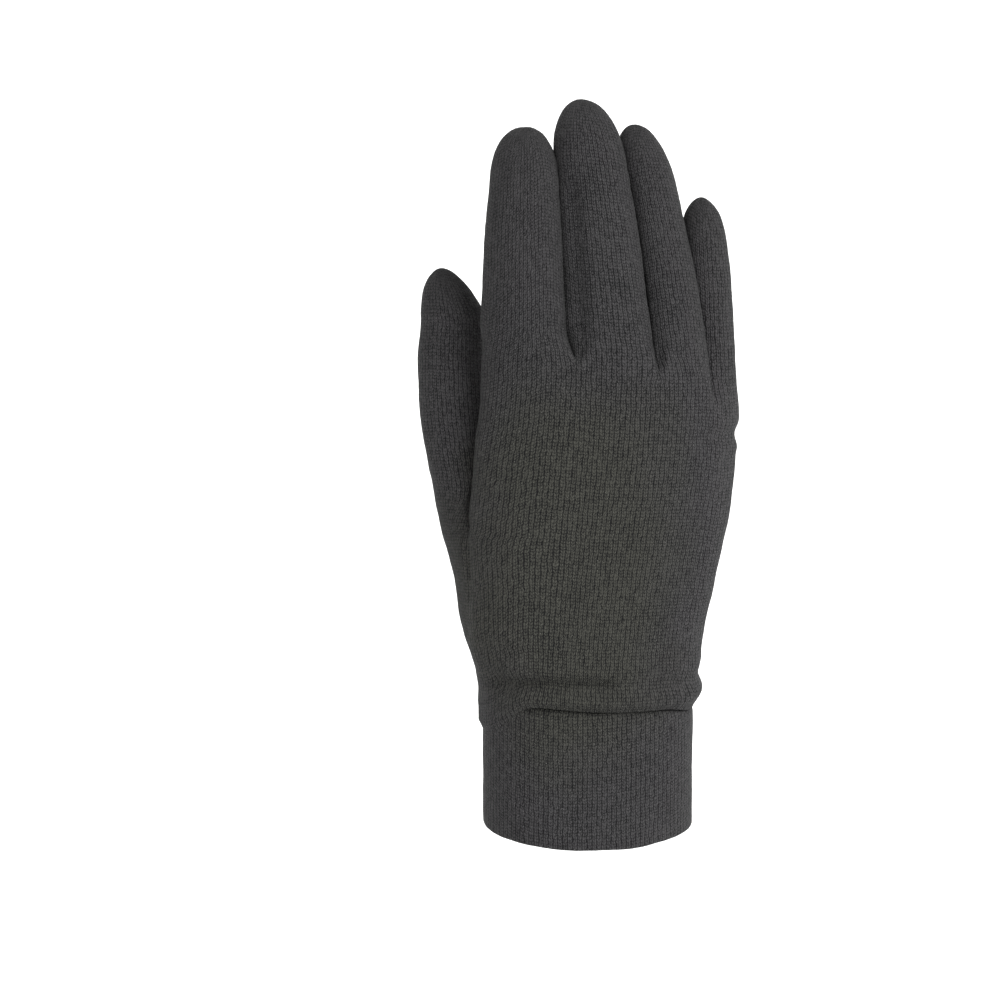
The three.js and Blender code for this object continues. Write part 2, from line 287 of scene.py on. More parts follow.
def place_of_x(lengths, points, x, on_back):
    """Place along the outline at a given x, on the back or on the palm side."""
    half = OUTLINE_STEPS // 2
    if on_back:
        return np.interp(x, points[:half, 0], lengths[:half])
    return np.interp(-x, -points[half:, 0], lengths[half:-1])


print("girth at the thumb's root", round(float(arc_lengths(outline)[0][-1])), "mm")

# %% [markdown]
# The columns are laid at every half millimetre of height, once for the lower hand, whose ring takes in the
# root of the thumb, and once for the palm above it. Wale lines that later end at a crotch are led there
# from the wrist, so that the stitches fan out gently as the hand widens.

# %% Where the hand's edge hangs and where the seam is pulled up
# Each pair is where a change starts and where it is complete, in millimetres.
DROOP = 8.0
DROOP_X = (-18.0, -35.0)
LIFT, LIFT_BY_THUMB = 2.0, 1.3
LIFT_Y = (-8.0, -20.0)
LIFT_LEFT_X, LIFT_RIGHT_X, LIFT_THUMB_X = (-38.0, -22.0), (40.0, 28.0), (5.0, -20.0)


def soft_step(t):
    """0 below 0, 1 above 1, and a smooth climb between."""
    t = np.clip(t, 0, 1)
    return t * t * (3 - 2 * t)


def fade(value, start, full):
    """0 at start and 1 at full, which may be the lower one, with a smooth climb between."""
    return soft_step((value - start) / (full - start))


def droop_at(x):
    """How far the hand's edge hangs down over the cuff, at the thumb's side."""
    return DROOP * fade(x, *DROOP_X)


def lift_at(x, y):
    """How far the seam is pulled up on the back of the hand, most of all towards the thumb."""
    within = fade(x, *LIFT_LEFT_X) * fade(x, *LIFT_RIGHT_X)
    return (LIFT + LIFT_BY_THUMB * fade(x, *LIFT_THUMB_X)) * fade(y, *LIFT_Y) * within


print("edge down by", droop_at(-CUFF_WIDTH / 2).round(1), "at the thumb's side, seam up by",
      lift_at(-10.0, -CUFF_DEPTH / 2).round(1), "on the back")

# %% Lay the columns of the hand
LAY_STEP = 0.5
LAY_ABOVE = 1.1
lay_heights = np.arange(SEAM_Z - DROOP - 1, SEAM_Z + LAY_ABOVE * HAND_LENGTH, LAY_STEP)
# x at the seam of the wale lines that lead to the crotches, on the back and on the palm side
WRIST_X = np.array([(-11.0, -18.0), (12.5, 6.0), (29.0, 27.0)])

# The corners beside the thumb, in degrees: the angle at the seam, the turn from there up to the thumb's
# root, and the turn from there up to the crotches
BACK_CORNER = (192, -11, 3)
FRONT_CORNER = (166, -10, 5)


def lead_x(z):
    """x of the wale lines that lead to the three crotches, on the back and on the palm side."""
    share = soft_step((z - SEAM_Z) / (CROTCHES[:, [1, 3]] - SEAM_Z))
    return WRIST_X + (CROTCHES[:, [0, 2]] - WRIST_X) * share


def lay_ring(z, with_thumb):
    """Points of all columns at height z, in one ring with the root of the thumb or round the palm alone."""
    points = body_outline(z, with_thumb)
    lengths = arc_lengths(points)[0]
    climb = fade(z, SEAM_Z, THUMB_BACK_Z)
    above = fade(z, THUMB_BACK_Z, CROTCHES[0, 1])
    back_corner, front_corner = (math.radians(at_seam + to_root * climb + to_crotch * above)
                                 for at_seam, to_root, to_crotch in (BACK_CORNER, FRONT_CORNER))
    lead = lead_x(z)
    keys = [(0, place_of_angle(lengths, back_corner))]
    column = 0
    for finger, x in zip(FINGERS, lead[:, 0]):
        column += BACK[finger]
        keys.append((column, place_of_x(lengths, points, x, True)))
    keys.append((BACK_COUNT + SIDE / 2, place_of_angle(lengths, 0.0)))
    column = BACK_COUNT + SIDE
    for finger, x in zip(("little", "ring", "middle"), lead[::-1, 1]):
        column += FRONT[finger]
        keys.append((column, place_of_x(lengths, points, x, False)))
    keys.append((PALM_COUNT, place_of_angle(lengths, front_corner)))
    return lay_columns(points, keys, HAND_RING if with_thumb else PALM_COUNT + THUMB_WEB)


lower_rings = np.array([lay_ring(z, True) for z in lay_heights])
palm_rings = np.array([lay_ring(z, False) for z in lay_heights])


def read_rings(rings, columns, z):
    """x and y of the given columns at the given heights."""
    at = np.clip((z - lay_heights[0]) / LAY_STEP, 0, len(lay_heights) - 1.001)
    i = at.astype(int)
    t = (at - i)[..., None]
    return rings[i, columns] * (1 - t) + rings[i + 1, columns] * t


print("ring of the wrist", lower_rings[8].min(0).round(1), lower_rings[8].max(0).round(1))

# %% [markdown]
# Now the mesh itself. It is built row by row up the columns, as the cloth was knitted. Above each crotch
# the cloth leaves the shape of the palm and takes the round shape of a finger over a few millimetres. The
# columns of the webs start from a short line across the crotch and round out sooner, which makes the
# rounded valley that a knitted crotch has.

# %% A cloth of rows and columns
HAND_WALES = 155
WALES_PER_COLUMN = HAND_WALES / HAND_RING
COURSE = 1.1


class Cloth:
    """Vertices in millimetres with a course number each, and quads with a wale number at each corner."""

    def __init__(self):
        self.points = []
        self.courses = []
        self.faces = []
        self.wales = []

    def add_row(self, points, courses):
        """Add vertices and return their numbers."""
        first = len(self.points)
        self.points.extend(np.asarray(points).tolist())
        self.courses.extend(np.asarray(courses).tolist())
        return np.arange(first, first + len(points))

    def join_rows(self, low, high, wales):
        """Quads between two closed rows; wales holds the start and end wale of each step round them."""
        for i in range(len(low)):
            after = (i + 1) % len(low)
            self.faces.append((int(low[i]), int(low[after]), int(high[after]), int(high[i])))
            start, end = wales[i]
            self.wales.append((start, end, end, start))

    def close_tip(self, row, point, wales):
        """Close the last row with triangles to one point."""
        tip = self.add_row([point], [self.courses[row[0]] + 1])[0]
        for i in range(len(row)):
            self.faces.append((int(row[i]), int(row[(i + 1) % len(row)]), int(tip)))
            start, end = wales[i]
            self.wales.append((start, end, (start + end) / 2))


def climb_courses(cloth, below, points):
    """Course numbers one row up, from how far each column climbs."""
    low = np.array([cloth.points[i] for i in below])
    steps = np.linalg.norm(np.asarray(points) - low, axis=1)
    return np.array([cloth.courses[i] for i in below]) + steps / COURSE


def web_line(back, front, count, hump):
    """Points strictly between a back corner and a front corner, raised in the middle."""
    t = np.arange(1, count) / count
    line = back[None] * (1 - t[:, None]) + front[None] * t[:, None]
    line[:, 2] += hump * 4 * t * (1 - t)
    return line


def ring_wales(columns):
    """Start and end wale of each step round a ring of palm columns."""
    return [(c * WALES_PER_COLUMN, (c + 1) * WALES_PER_COLUMN) for c in columns]


hand = Cloth()
print("wales round the hand", HAND_WALES, "at", round(COURSE, 1), "mm to a course")

# %% Rows of the lower hand
# Column and height above the seam where the palm ends and the fingers begin
PALM_TOP = [(0, 115.2), (25, 115.7), (45, 110.7), (61, 101.7), (68, 99.7), (76, 98.2), (88, 96.7),
            (105, 110.7), (124, 116.7), (143, 116.7), (157, 115.2)]
# Column and height where the ring parts in two
split_keys = [(0, THUMB_BACK_Z), (PALM_COUNT / 2, (THUMB_BACK_Z + THUMB_FRONT_Z) / 2),
              (PALM_COUNT, THUMB_FRONT_Z), (HAND_RING, THUMB_BACK_Z)]
hand_columns = np.arange(HAND_RING)
split_z = np.interp(hand_columns, *zip(*split_keys))
seam_ring = read_rings(lower_rings, hand_columns, np.full(HAND_RING, SEAM_Z))
seam_z = SEAM_Z + 0.1 - droop_at(seam_ring[:, 0]) + lift_at(seam_ring[:, 0], seam_ring[:, 1])

LOWER_ROWS = round((THUMB_BACK_Z + THUMB_FRONT_Z - 2 * SEAM_Z) / 2 / ROW_STEP)
wales = ring_wales(hand_columns)
rows = []
for r in range(LOWER_ROWS + 1):
    z = seam_z + (split_z - seam_z) * r / LOWER_ROWS
    points = np.column_stack([read_rings(lower_rings, hand_columns, z), z])
    courses = climb_courses(hand, rows[-1], points) if rows else np.zeros(HAND_RING)
    rows.append(hand.add_row(points, courses))
    if r:
        hand.join_rows(rows[-2], rows[-1], wales)
hem_rows, split_row = rows[:2], rows[-1]
print("lower hand", len(hand.points), "vertices")

# %% Part the ring at the thumb
ROOT_BLEND = 13.0
CORNER_REACH = 5
CORNER_SHARE = 0.8
WEB_ROUND = 2.2
THUMB_HUMP = 3.0

split_points = np.array([hand.points[i] for i in split_row])
split_courses = np.array([hand.courses[i] for i in split_row])
front_corner, back_corner = split_points[PALM_COUNT], split_points[0]
web = web_line(front_corner, back_corner, THUMB_WEB, THUMB_HUMP)
web_courses = np.interp(np.arange(1, THUMB_WEB), (0, THUMB_WEB),
                        (split_courses[PALM_COUNT], split_courses[0]))
thumb_web_row = hand.add_row(web, web_courses)
print("web beside the thumb", len(thumb_web_row), "vertices")

# %% Climb the palm
palm_columns = np.arange(PALM_COUNT + THUMB_WEB)
palm_base = np.concatenate([split_row[:PALM_COUNT + 1], thumb_web_row])
palm_base_points = np.array([hand.points[i] for i in palm_base])
palm_top_z = SEAM_Z + np.interp(palm_columns, *zip(*PALM_TOP))
palm_wales = ring_wales(palm_columns)
on_web = palm_columns > PALM_COUNT
from_corner = np.minimum(palm_columns, PALM_COUNT - palm_columns)
corner = np.where(on_web, 1.0, np.clip(1 - from_corner / CORNER_REACH, 0, 1) * CORNER_SHARE)


def leave(t, web_share):
    """How far a column has left the shape it started from; web columns leave at once."""
    t = np.clip(t, 0, 1)
    return soft_step(t) * (1 - web_share) + (1 - (1 - t) ** WEB_ROUND) * web_share


def palm_points(columns, z):
    """The palm above the thumb: lower ring below, palm ring above."""
    start = palm_base_points[columns]
    share = leave((z - start[:, 2]) / ROOT_BLEND, corner[columns])[:, None]
    lower = read_rings(lower_rings, np.minimum(columns, PALM_COUNT), z)
    lower = np.where(on_web[columns][:, None], start[:, :2], lower)
    return lower * (1 - share) + read_rings(palm_rings, columns, z) * share


PALM_ROWS = round((palm_top_z.mean() - palm_base_points[:, 2].mean()) / ROW_STEP)
row = palm_base
for r in range(1, PALM_ROWS + 1):
    z = palm_base_points[:, 2] + (palm_top_z - palm_base_points[:, 2]) * r / PALM_ROWS
    points = np.column_stack([palm_points(palm_columns, z), z])
    above = hand.add_row(points, climb_courses(hand, row, points))
    hand.join_rows(row, above, palm_wales)
    row = above
palm_top = row
print("palm and lower hand", len(hand.points), "vertices")

# %% [markdown]
# Each finger's ring is made of its share of the back, a web, its share of the palm side and another web.
# Where two fingers touch, both are pressed flat along one plane between them, so that the valley between
# them stays shallow. The last shaping of the cloth then closes the small gap that is left here, and the two
# walls run a little into each other there, out of sight between the fingers.

# %% Press the thumb out of the palm
FINGER_GAP = 0.3
THUMB_GAP = 0.8


def press_out_of_palm(x, y, z):
    """Move points out of the palm's outline."""
    left, right, back, front, _ = body_at(z)
    middle, half_width = (right - left) / 2, (left + right) / 2 + THUMB_GAP
    half_depth = np.where(y < 0, back, front) + THUMB_GAP
    reach = np.abs((x - middle) / half_width) ** BODY_POWER + np.abs(y / half_depth) ** BODY_POWER
    reach = np.maximum(reach, 1e-6) ** (1 / BODY_POWER)
    push = np.where((reach < 1) & (z < CROTCHES[0, 1]), 1 / reach, 1)
    return middle + (x - middle) * push, y * push


def press_out(x, y, z, others):
    """Move the thumb's points out of the palm and out of the index finger."""
    for other in others:
        if other == "palm":
            x, y = press_out_of_palm(x, y, z)
            continue
        mx, my, wide, deep = tube_at(other, z)
        wide, deep = wide + FINGER_GAP, deep + FINGER_GAP
        reach = (np.abs((x - mx) / wide) ** TUBE_POWER + np.abs((y - my) / deep) ** TUBE_POWER)
        reach = np.maximum(reach, 1e-6) ** (1 / TUBE_POWER)
        push = np.where((reach < 1) & (z < tube_ends(other)[1]), 1 / reach, 1)
        x, y = mx + (x - mx) * push, my + (y - my) * push
    return x, y


print("the thumb is pressed", THUMB_GAP, "mm off the palm and", FINGER_GAP, "mm off the index finger")

# %% Press the fingers flat against each other
# The share of the overlap that the finger nearer to the thumb gives way
FRONT_YIELD = 0.3


def reach_toward(wide, deep, ux, uy):
    """Radius of a tube's section in the direction ux, uy."""
    return ((np.abs(ux) / wide) ** TUBE_POWER + (np.abs(uy) / deep) ** TUBE_POWER) ** (-1 / TUBE_POWER)


def press_flat(name, x, y, z, neighbours):
    """Flatten a finger along the plane where it meets each neighbour."""
    ax, ay, wide, deep = tube_at(name, z)
    for other in neighbours:
        bx, by, other_wide, other_deep = tube_at(other, z)
        away = np.hypot(bx - ax, by - ay)
        ux, uy = (bx - ax) / away, (by - ay) / away
        reach = reach_toward(wide, deep, ux, uy)
        overlap = reach + reach_toward(other_wide, other_deep, ux, uy) - away
        share = FRONT_YIELD if FINGERS.index(name) < FINGERS.index(other) else 1 - FRONT_YIELD
        limit = reach - overlap * share - FINGER_GAP / 2
        beyond = np.maximum((x - ax) * ux + (y - ay) * uy - limit, 0)
        x, y = x - beyond * ux, y - beyond * uy
    return x, y


print("gap between the pressed faces", FINGER_GAP, "mm, before the last shaping")

# %% Columns round a finger or the thumb
# The section that stands for the whole tube is this many millimetres below the start of its dome.
BELOW_DOME = 25


def section_points(angles, wide, deep):
    """x and y round a tube's section, from its middle."""
    across, along = np.cos(angles), np.sin(angles)
    return (wide * np.sign(across) * np.abs(across) ** (2 / TUBE_POWER),
            deep * np.sign(along) * np.abs(along) ** (2 / TUBE_POWER))


def tube_angles(name, keys, count):
    """Angle of each column round a tube: keys pair columns with angles, the rest are spread evenly."""
    wide, deep = tube_at(name, tube_ends(name)[0] - BELOW_DOME)[2:]
    theta = np.linspace(0, 4 * math.pi, 4 * OUTLINE_STEPS + 1)
    x, y = section_points(theta, wide, deep)
    lengths = np.concatenate([[0], np.cumsum(np.hypot(np.diff(x), np.diff(y)))])
    keys = keys + [(keys[0][0] + count, keys[0][1] + 2 * math.pi)]
    columns = np.array([key[0] for key in keys])
    places = np.interp([key[1] for key in keys], theta, lengths)
    at = np.arange(count, dtype=float)
    at = np.where(at < columns[0], at + count, at)
    return np.interp(np.interp(at, columns, places), lengths, theta)


def tube_points(name, angles, z, others):
    """x and y of a tube's columns at the heights z, kept clear of the others."""
    mx, my, wide, deep = tube_at(name, z)
    across, along = section_points(angles, wide, deep)
    x, y = mx + across, my + along
    press = press_flat(name, x, y, z, others) if name in FINGERS else press_out(x, y, z, others)
    return np.stack(press, axis=-1)


print("the ring finger's section is read at", round(tube_ends("ring")[0] - BELOW_DOME), "mm")

# %% Rows of a finger or the thumb
DOME_ROWS = 13
DOME_TURN = math.radians(84)


def grow_tube(cloth, name, base, base_columns, angles, web_share, wales, others, root):
    """Rows of a finger or the thumb, from its base row to the closed tip."""
    start = np.array([cloth.points[i] for i in base])
    dome_z, tip_z = tube_ends(name)
    count = round((dome_z - start[:, 2].mean()) / ROW_STEP)
    row = base
    heights = [start[:, 2] + (dome_z - start[:, 2]) * r / count for r in range(1, count + 1)]
    for turn in np.linspace(0, DOME_TURN, DOME_ROWS + 1)[1:]:
        heights.append(np.full(len(base), dome_z + (tip_z - dome_z) * math.sin(turn)))
    for z in heights:
        share = leave((z - start[:, 2]) / ROOT_BLEND, web_share)[:, None]
        points = root(base_columns, z, start) * (1 - share) + tube_points(name, angles, z, others) * share
        points = np.column_stack([points, z])
        above = cloth.add_row(points, climb_courses(cloth, row, points))
        cloth.join_rows(row, above, wales)
        row = above
    top = np.mean([cloth.points[i] for i in row], axis=0)
    top[2] = tip_z
    cloth.close_tip(row, top, wales)


def palm_root(columns, z, start):
    """Where palm columns would go on; web columns, marked -1, stay where they start."""
    known = np.maximum(columns, 0)
    onward = palm_points(known, z)
    return np.where((columns < 0)[:, None], start[:, :2], onward)


def matched_wales(start, end, count):
    """Wales across a web, so that its last stitch meets the next column's."""
    natural = count * WALES_PER_COLUMN
    wanted = (end - start) % 1
    total = wanted + round(natural - wanted)
    steps = start + total * np.arange(count + 1) / count
    return list(zip(steps[:-1], steps[1:]))


print("each dome has", DOME_ROWS, "rows")

# %% Webs between the fingers
WEB_HUMP = 2.0
back_edges = np.concatenate([[0], np.cumsum([BACK[name] for name in FINGERS])])
front_edges = PALM_COUNT - np.concatenate([[0], np.cumsum([FRONT[name] for name in FINGERS])])
finger_web_rows = []
for k, count in enumerate(FINGER_WEBS):
    back, front = palm_top[back_edges[k + 1]], palm_top[front_edges[k + 1]]
    line = web_line(np.array(hand.points[back]), np.array(hand.points[front]), count, WEB_HUMP)
    courses = np.interp(np.arange(1, count), (0, count), (hand.courses[back], hand.courses[front]))
    finger_web_rows.append(hand.add_row(line, courses))
print("webs of", [len(web_row) for web_row in finger_web_rows], "vertices")

# %% Grow the fingers
# Direction of the index finger's outer side, seen from its middle line
INDEX_LEFT = math.radians(174)
for k, name in enumerate(FINGERS):
    back = np.arange(back_edges[k], back_edges[k + 1] + 1)
    front = np.arange(front_edges[k + 1], front_edges[k] + 1)
    last, first = k == len(FINGERS) - 1, k == 0
    right = palm_top[BACK_COUNT + 1:BACK_COUNT + SIDE] if last else finger_web_rows[k]
    left = palm_top[PALM_COUNT + 1:] if first else finger_web_rows[k - 1][::-1]
    base = np.concatenate([palm_top[back], right, palm_top[front], left])
    marks = np.concatenate([
        back,
        np.arange(BACK_COUNT + 1, BACK_COUNT + SIDE) if last else np.full(len(right), -1),
        front,
        np.arange(PALM_COUNT + 1, PALM_COUNT + THUMB_WEB) if first else np.full(len(left), -1),
    ])
    to_right = len(back)
    to_front = to_right + len(right)
    to_left = to_front + len(front)
    middle_z = tube_ends(name)[0] - BELOW_DOME
    here = np.array(tube_at(name, middle_z)[:2])
    toward_right, toward_left = 0.0, INDEX_LEFT
    if not last:
        ahead = np.array(tube_at(FINGERS[k + 1], middle_z)[:2]) - here
        toward_right = math.atan2(ahead[1], ahead[0])
    if not first:
        behind = np.array(tube_at(FINGERS[k - 1], middle_z)[:2]) - here
        toward_left = math.atan2(behind[1], behind[0]) % (2 * math.pi)
    right_middle = to_right + (len(right) - 1) / 2
    left_middle = to_left + (len(left) - 1) / 2
    keys = [(left_middle - len(base), toward_left), (right_middle, 2 * math.pi + toward_right)]
    angles = tube_angles(name, [(c + len(base), a) for c, a in keys], len(base))
    web_share = np.zeros(len(base))
    for c in range(len(base)):
        gaps = []
        if not last:
            gaps.append(max(to_right - 1 - c, c - to_front, 0) if c <= to_left else len(base))
        if not first:
            gaps.append(max(min(c, len(base)), 0) if c < to_right else max(to_left - 1 - c, 0))
        nearest = min(gaps)
        web_share[c] = 1.0 if marks[c] < 0 else max(0.0, 1 - nearest / CORNER_REACH) * CORNER_SHARE
    wales = ring_wales(back[:-1])
    if last:
        wales += ring_wales(range(BACK_COUNT, BACK_COUNT + SIDE))
    else:
        wales += matched_wales(back[-1] * WALES_PER_COLUMN, front[0] * WALES_PER_COLUMN, len(right) + 1)
    wales += ring_wales(front[:-1])
    if first:
        wales += ring_wales(range(PALM_COUNT, PALM_COUNT + THUMB_WEB))
    else:
        wales += matched_wales(front[-1] * WALES_PER_COLUMN, back[0] * WALES_PER_COLUMN, len(left) + 1)
    neighbours = FINGERS[max(k - 1, 0):k] + FINGERS[k + 1:k + 2]
    grow_tube(hand, name, base, marks, angles, web_share, wales, neighbours, palm_root)
print("hand", len(hand.points), "vertices", len(hand.faces), "faces")

# %% [markdown]
# The thumb is a piece of its own. It starts from the ring that parted at its root, a hair above the hand's
# last row there, so that the two cloths meet in a seam.

# %% Root of the thumb
thumb_base = np.concatenate([split_row[PALM_COUNT:], split_row[:1], thumb_web_row[::-1]])
thumb_marks = np.concatenate([np.arange(PALM_COUNT, HAND_RING), [0], np.full(THUMB_WEB - 1, -1)])


def thumb_root(columns, z, start):
    """Where the thumb's columns would go on in the hand; web columns, marked -1, stay where they start."""
    onward = read_rings(lower_rings, np.maximum(columns, 0), z)
    return np.where((columns < 0)[:, None], start[:, :2], onward)


def bearing(point):
    """Angle of a point as seen from the thumb's middle line."""
    mx, my = tube_at("thumb", point[2])[:2]
    return math.atan2(point[1] - my, point[0] - mx) % (2 * math.pi)


outward = (bearing(front_corner) + bearing(back_corner)) / 2
thumb_keys = [(GUSSET / 2, outward), (GUSSET + THUMB_WEB / 2, outward + math.pi)]
thumb_angles = tube_angles("thumb", thumb_keys, len(thumb_base))
print("thumb's corners at", round(math.degrees(bearing(front_corner))), "and",
      round(math.degrees(bearing(back_corner))), "degrees")

# %% Grow the thumb
THUMB_JOINT = 0.08
thumb_columns = np.arange(len(thumb_base))
thumb_corner = np.minimum(thumb_columns, np.abs(GUSSET - thumb_columns))
thumb_near = np.clip(1 - thumb_corner / CORNER_REACH, 0, 1) * CORNER_SHARE
thumb_web_share = np.where(thumb_marks < 0, 1.0, thumb_near)

thumb = Cloth()
thumb_start = np.array([hand.points[i] for i in thumb_base]) + (0, 0, THUMB_JOINT)
thumb_first = thumb.add_row(thumb_start, [hand.courses[i] for i in thumb_base])
thumb_wales = ring_wales(range(PALM_COUNT, HAND_RING))
thumb_wales += matched_wales(HAND_RING * WALES_PER_COLUMN, PALM_COUNT * WALES_PER_COLUMN, THUMB_WEB)
grow_tube(thumb, "thumb", thumb_first, thumb_marks, thumb_angles, thumb_web_share, thumb_wales,
          ("palm", "index"), thumb_root)
print("thumb", len(thumb.points), "vertices", len(thumb.faces), "faces")

# %% [markdown]
# The cuff is a strip of the same knit, folded in half at the hem. So it is one cloth that goes down the
# inside, turns round at the hem and comes up the outside, and the two layers lie on each other.

# %% Path of the cuff's cloth
CUFF_WALL = 2.4
CUFF_COLUMNS = 150
CUFF_STEP = 1.35
HEM_STEPS = 7
# How far the cloth ends below the cuff's top, inside and before the outer edge, and the rounded outer edge
# as insets and depths below the top
INSIDE_END, OUTSIDE_END = 0.2, 1.5
TOP_EDGE = [(0.15, 0.9), (0.45, 0.4), (0.9, 0.1)]


def cuff_path():
    """Inset and height along the cuff's cloth, from the top inside to the top outside."""
    round_radius = CUFF_WALL / 2
    inside = [(CUFF_WALL, z) for z in np.arange(CUFF_HEIGHT - INSIDE_END, round_radius, -CUFF_STEP)]
    hem = [(round_radius + round_radius * math.cos(t), round_radius - round_radius * math.sin(t))
           for t in np.linspace(0, math.pi, HEM_STEPS)]
    outside = [(0.0, z) for z in np.arange(round_radius + CUFF_STEP, CUFF_HEIGHT - OUTSIDE_END, CUFF_STEP)]
    return inside + hem + outside + [(inset, CUFF_HEIGHT - below) for inset, below in TOP_EDGE]


def cuff_outline(inset):
    """The cuff's columns round its section, this far in from its outside."""
    angle = math.pi + np.linspace(0, 2 * math.pi, OUTLINE_STEPS, endpoint=False)
    half_width, half_depth = CUFF_WIDTH / 2 - inset, CUFF_DEPTH / 2 - inset
    radius = superellipse(angle, half_width, half_width, half_depth, half_depth, BODY_POWER)
    points = np.stack([radius * np.cos(angle), radius * np.sin(angle)], axis=-1)
    return lay_columns(points, [(0, 0.0)], CUFF_COLUMNS)


print("the cuff's path has", len(cuff_path()), "points")

# %% Knit the cuff
CUFF_WALES = 118
HEM_LIFT = 3.5
HEM_REACH = 14.0
HEM_CURVE = 1.9
TOP_LIFT_POWER = 3


def lift_edges(points):
    """Raise the hem at both sides, where the strip stretches less, and the top together with the seam."""
    points[:, 2] += lift_at(points[:, 0], points[:, 1]) * (points[:, 2] / CUFF_HEIGHT) ** TOP_LIFT_POWER
    share = (np.abs(points[:, 0]) / (CUFF_WIDTH / 2)) ** HEM_CURVE
    points[:, 2] += HEM_LIFT * share * np.clip(1 - points[:, 2] / HEM_REACH, 0, 1)


cuff = Cloth()
cuff_wales = [(i * CUFF_WALES / CUFF_COLUMNS, (i + 1) * CUFF_WALES / CUFF_COLUMNS)
              for i in range(CUFF_COLUMNS)]
row = None
for inset, z in cuff_path():
    points = np.column_stack([cuff_outline(inset), np.full(CUFF_COLUMNS, z)])
    lift_edges(points)
    courses = np.zeros(CUFF_COLUMNS) if row is None else climb_courses(cuff, row, points)
    above = cuff.add_row(points, courses)
    if row is not None:
        cuff.join_rows(row, above, cuff_wales)
    row = above
print("cuff", len(cuff.points), "vertices", len(cuff.faces), "faces")

# %% [markdown]
# Soft folds and small unevenness come next. Each fold is a line on the back or the palm side, with a width
# and a height, and it fades out at both ends. The knit also has a slow unevenness of a few tenths of a
# millimetre, which is what stops a smooth cloth from looking like plastic.

# %% Soft folds
# x and height above the seam of both ends, half width across, height out of the cloth, and side: -1 back,
# 1 palm, 0 both. First come the roll above the cuff, the valley over it and the small folds above that, then
# the creases beside the little finger's knuckle, and then the grooves and puckers at the two inner crotches.
FOLDS = [
    (-22, 6.8, 14, 6.3, 2.5, 2.2, 0),
    (19, 6.0, 42, 6.0, 3.2, 2.0, 0),
    (-42, 7.0, -26, 6.5, 4.5, 0.6, 0),
    (-30, 10.8, 5, 11.0, 2.7, -2.9, -1),
    (10, 11.2, 40, 10.8, 2.2, -0.8, -1),
    (-26, 15.2, 2, 15.0, 2.4, 0.6, -1),
    (-34, 20.5, -14, 21.0, 2.4, -0.7, -1),
    (14, 15.6, 38, 16.4, 2.4, 0.5, -1),
    (38, 90.7, 50, 90.2, 2.4, -0.5, 0),
    (42, 95.2, 50, 94.7, 2.4, 0.5, 0),
    (42, 86.0, 50, 86.0, 2.4, 0.6, 0),
    (-3.0, 121.0, -6.0, 172.0, 2.8, -1.5, -1),
    (21.4, 121.0, 13.2, 172.0, 2.8, -0.8, -1),
    (-8.2, 121.0, -5.2, 116.0, 1.3, 0.9, -1),
    (-3.0, 115.8, -0.4, 121.0, 1.3, 0.9, -1),
    (-4.2, 119.0, -4.0, 118.0, 1.2, -0.8, -1),
    (18.6, 120.0, 20.2, 113.6, 1.3, 1.3, -1),
    (22.4, 112.4, 22.6, 112.4, 1.3, 1.1, -1),
    (24.6, 113.6, 26.0, 120.0, 1.3, 1.3, -1),
    (20.2, 109.4, 24.6, 109.4, 1.2, -0.8, -1),
    (22.4, 117.6, 22.6, 116.0, 1.2, -0.9, -1),
]


def fold_height(x, z, side):
    """Height of all folds at a place on the cloth."""
    total = np.zeros(len(x))
    for x1, z1, x2, z2, half_width, height, where in FOLDS:
        dx, dz = x2 - x1, z2 - z1
        t = np.clip(((x - x1) * dx + (z - z1) * dz) / (dx * dx + dz * dz), 0, 1)
        away = np.hypot(x - x1 - t * dx, z - z1 - t * dz)
        share = np.where(where == 0, 1.0, soft_step(0.5 + 0.5 * side * where))
        total += height * share * np.exp(-(away / half_width) ** 2)
    return total


print(len(FOLDS), "folds")

# %% The hand's edge at the cuff
# OVER_CUFF_X and LESS_TUCK_X are where a change starts and where it is complete. The edge tucks in by
# TUCK_IN over TUCK_SLOPE, and hangs out by HANG_OUT over HEM_SLOPE and up to HANG_HEIGHT above the seam.
OVER_CUFF_X = (-15.0, -23.0)
TUCK_IN, TUCK_SLOPE = -1.5, 2.8
LESS_TUCK, LESS_TUCK_X = 0.7, (24.0, 34.0)
HEM_OUT, HANG_OUT, HEM_SLOPE, HANG_HEIGHT = 0.1, 1.3, 3.2, 7.0
HUG = BODY_ROWS[0, 4] - 1


def over_cuff(x):
    """1 where the hand's edge hangs outside the cuff, at the thumb's side, and 0 where it tucks in."""
    return fade(x, *OVER_CUFF_X)


def seam_edge_height(x, y, up):
    """The hand's edge tucks in above the cuff, and at the thumb's side it hangs over the cuff instead."""
    above_edge = up + droop_at(x) - lift_at(x, y)
    tuck = TUCK_IN * (1 - soft_step(above_edge / TUCK_SLOPE)) * (1 - LESS_TUCK * fade(x, *LESS_TUCK_X))
    rise = soft_step(above_edge / HEM_SLOPE)
    hang = (HEM_OUT + HANG_OUT * rise) * (1 - soft_step(up / HANG_HEIGHT)) - HUG * np.abs(y) * (1 - rise)
    return tuck * (1 - over_cuff(x)) + hang * over_cuff(x)


print("the edge moves out by", seam_edge_height(10.0, -20.0, lift_at(10.0, -20.0)).round(1), "mm on the back")

# %% Shape the three cloths
CLOTH_OUT, CUFF_OUT = 0.4, 0.3
HAND_UNEVEN, CUFF_UNEVEN = 0.35, 0.25
# Size of each unevenness and its share
UNEVEN = ((14.0, 1.0), (6.0, 0.5), (2.6, 0.3))
# The overlap with the cuff, which stays even, is centred this far below the seam and fades out over these
# distances from there.
OVERLAP_BELOW, OVERLAP_FADE = 2.0, (4.5, 13.5)


